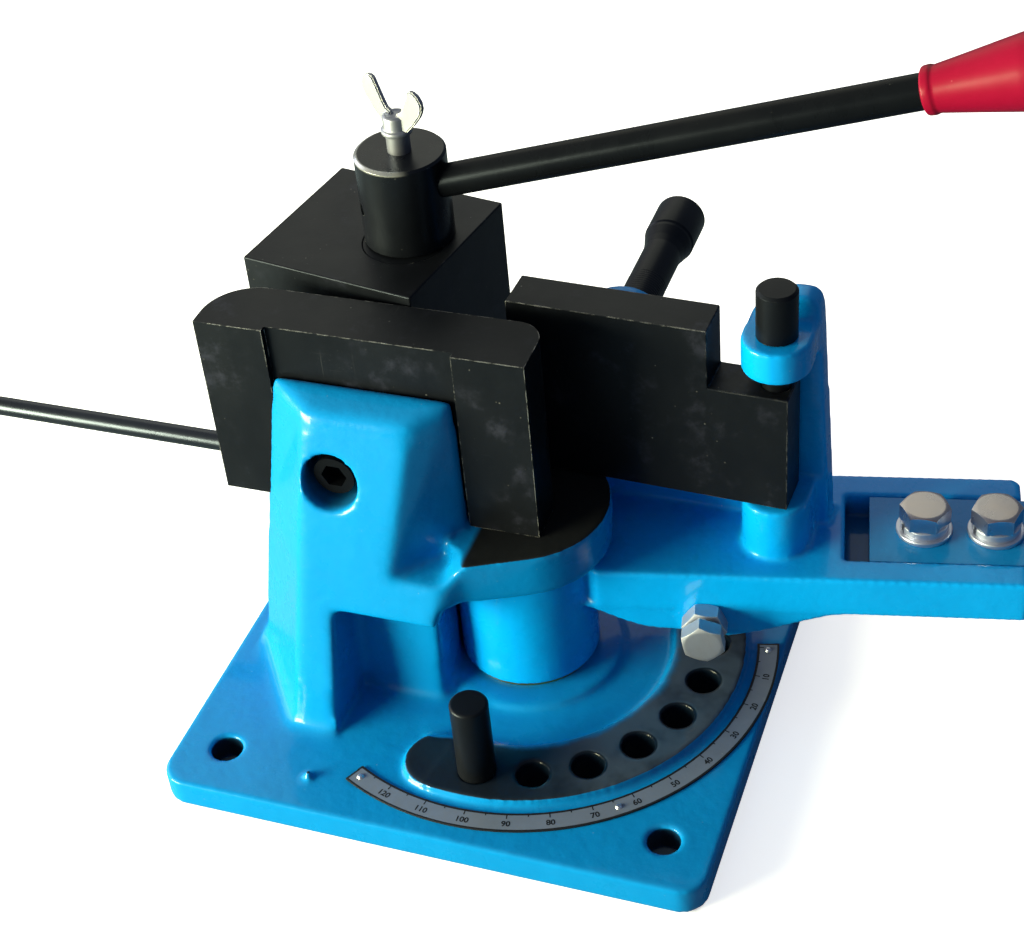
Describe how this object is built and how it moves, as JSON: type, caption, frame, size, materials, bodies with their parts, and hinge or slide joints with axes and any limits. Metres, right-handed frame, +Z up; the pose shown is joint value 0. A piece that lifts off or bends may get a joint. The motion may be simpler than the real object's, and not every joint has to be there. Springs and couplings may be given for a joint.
{
  "type": "bench bar bender",
  "caption": "Bench manual bar bender: blue cast base with angle scale and stop holes, fixed front die, eccentric clamp block with lever, and a swing arm carrying an adjustable bending die.",
  "frame": {"origin": "on the underside of the base plate, at the middle of its four bolt holes", "axes": "+X to the right along the front edge and roughly along the main lever, +Y to the back, +Z up from the bench"},
  "size_m": [0.8932, 0.2602, 0.324],
  "materials": {
    "blue_paint": "glossy blue paint on rough castings",
    "black_oxide_steel": "black oxide, oiled, with scuffed edges",
    "zinc_steel": "bright zinc plate",
    "bronze": "plain machined bearing bronze",
    "red_grip": "dipped glossy red plastic",
    "scale_plate": "satin plate with dark printed marks"
  },
  "bodies": {
    "base": {"base_casting": "blue_paint", "angle_scale": "scale_plate", "scale_rivets": "zinc_steel", "front_die": "black_oxide_steel", "die_screw": "black_oxide_steel", "pivot_shaft": "zinc_steel", "thrust_washer": "bronze", "clamp_bush": "bronze", "stop_rod": "black_oxide_steel", "rod_nut": "black_oxide_steel"},
    "arm": {"swing_arm": "blue_paint", "arm_bushes": "bronze", "main_lever": "blue_paint", "lever_grip": "red_grip", "lever_bolts": "zinc_steel", "lever_washers": "zinc_steel", "spring_washers": "zinc_steel", "lever_nuts": "zinc_steel", "stop_lock_nut": "zinc_steel"},
    "stop_bolt": {"stop_bolt": "zinc_steel"},
    "bending_die": {"bending_die": "black_oxide_steel"},
    "die_pin": {"die_pin": "black_oxide_steel"},
    "adjust_screw": {"adjust_screw": "black_oxide_steel"},
    "stop_pin": {"stop_pin": "black_oxide_steel"},
    "clamp_shaft": {"clamp_shaft": "black_oxide_steel", "clamp_hub": "black_oxide_steel", "hub_pin": "zinc_steel", "clamp_lever": "black_oxide_steel", "clamp_grip": "red_grip", "shaft_ring": "zinc_steel"},
    "clamp_block": {"clamp_block": "black_oxide_steel"},
    "wing_screw": {"wing_screw": "zinc_steel"},
    "stop_collar": {"stop_collar": "black_oxide_steel"},
    "collar_screw": {"collar_screw": "zinc_steel"}
  },
  "joints": [
    {"name": "arm_swing", "type": "hinge", "parent": "base", "child": "arm", "pos_m": [0.0105, 0.005, 0.048], "axis": [0, 0, 1], "range_deg": [-62, 0]},
    {"name": "bending_die_tilt", "type": "hinge", "parent": "arm", "child": "bending_die", "pos_m": [0.116, 0.034, 0.14], "axis": [0, 0, 1], "range_deg": [-0.5, 2]},
    {"name": "adjust_screw_travel", "type": "slide", "parent": "arm", "child": "adjust_screw", "axis": [0, -1, 0], "range_m": [-0.0007, 0.0025]},
    {"name": "die_pin_lift", "type": "slide", "parent": "arm", "child": "die_pin", "axis": [0, 0, 1], "range_m": [0, 0.03]},
    {"name": "stop_bolt_travel", "type": "slide", "parent": "arm", "child": "stop_bolt", "axis": [0.1959, -0.9806, 0], "range_m": [-0.001, 0.004]},
    {"name": "stop_pin_lift", "type": "slide", "parent": "base", "child": "stop_pin", "axis": [0, 0, 1], "range_m": [0, 0.03]},
    {"name": "clamp_lever_turn", "type": "hinge", "parent": "base", "child": "clamp_shaft", "pos_m": [-0.0497, 0.0596, 0.14], "axis": [0, 0, 1], "range_deg": [0, 100]},
    {"name": "clamp_block_follow", "type": "hinge", "parent": "clamp_shaft", "child": "clamp_block", "pos_m": [-0.0497, 0.0546, 0.14], "axis": [0, 0, 1], "range_deg": [-100, 0]},
    {"name": "wing_screw_turn", "type": "hinge", "parent": "clamp_shaft", "child": "wing_screw", "pos_m": [-0.0497, 0.0596, 0.24], "axis": [0, 0, 1], "range_deg": [0, 180]},
    {"name": "stop_collar_slide", "type": "slide", "parent": "base", "child": "stop_collar", "axis": [1, 0, 0], "range_m": [-0.02, 0.14]},
    {"name": "collar_screw_turn", "type": "hinge", "parent": "stop_collar", "child": "collar_screw", "pos_m": [-0.302, 0.005, 0.0903], "axis": [0, 1, 0], "range_deg": [0, 180]}
  ],
  "couplings": [
    {"joint": "adjust_screw_travel", "follows": "bending_die_tilt", "m_per_rad": 0.07},
    {"joint": "clamp_block_follow", "follows": "clamp_lever_turn", "ratio": -1}
  ]
}
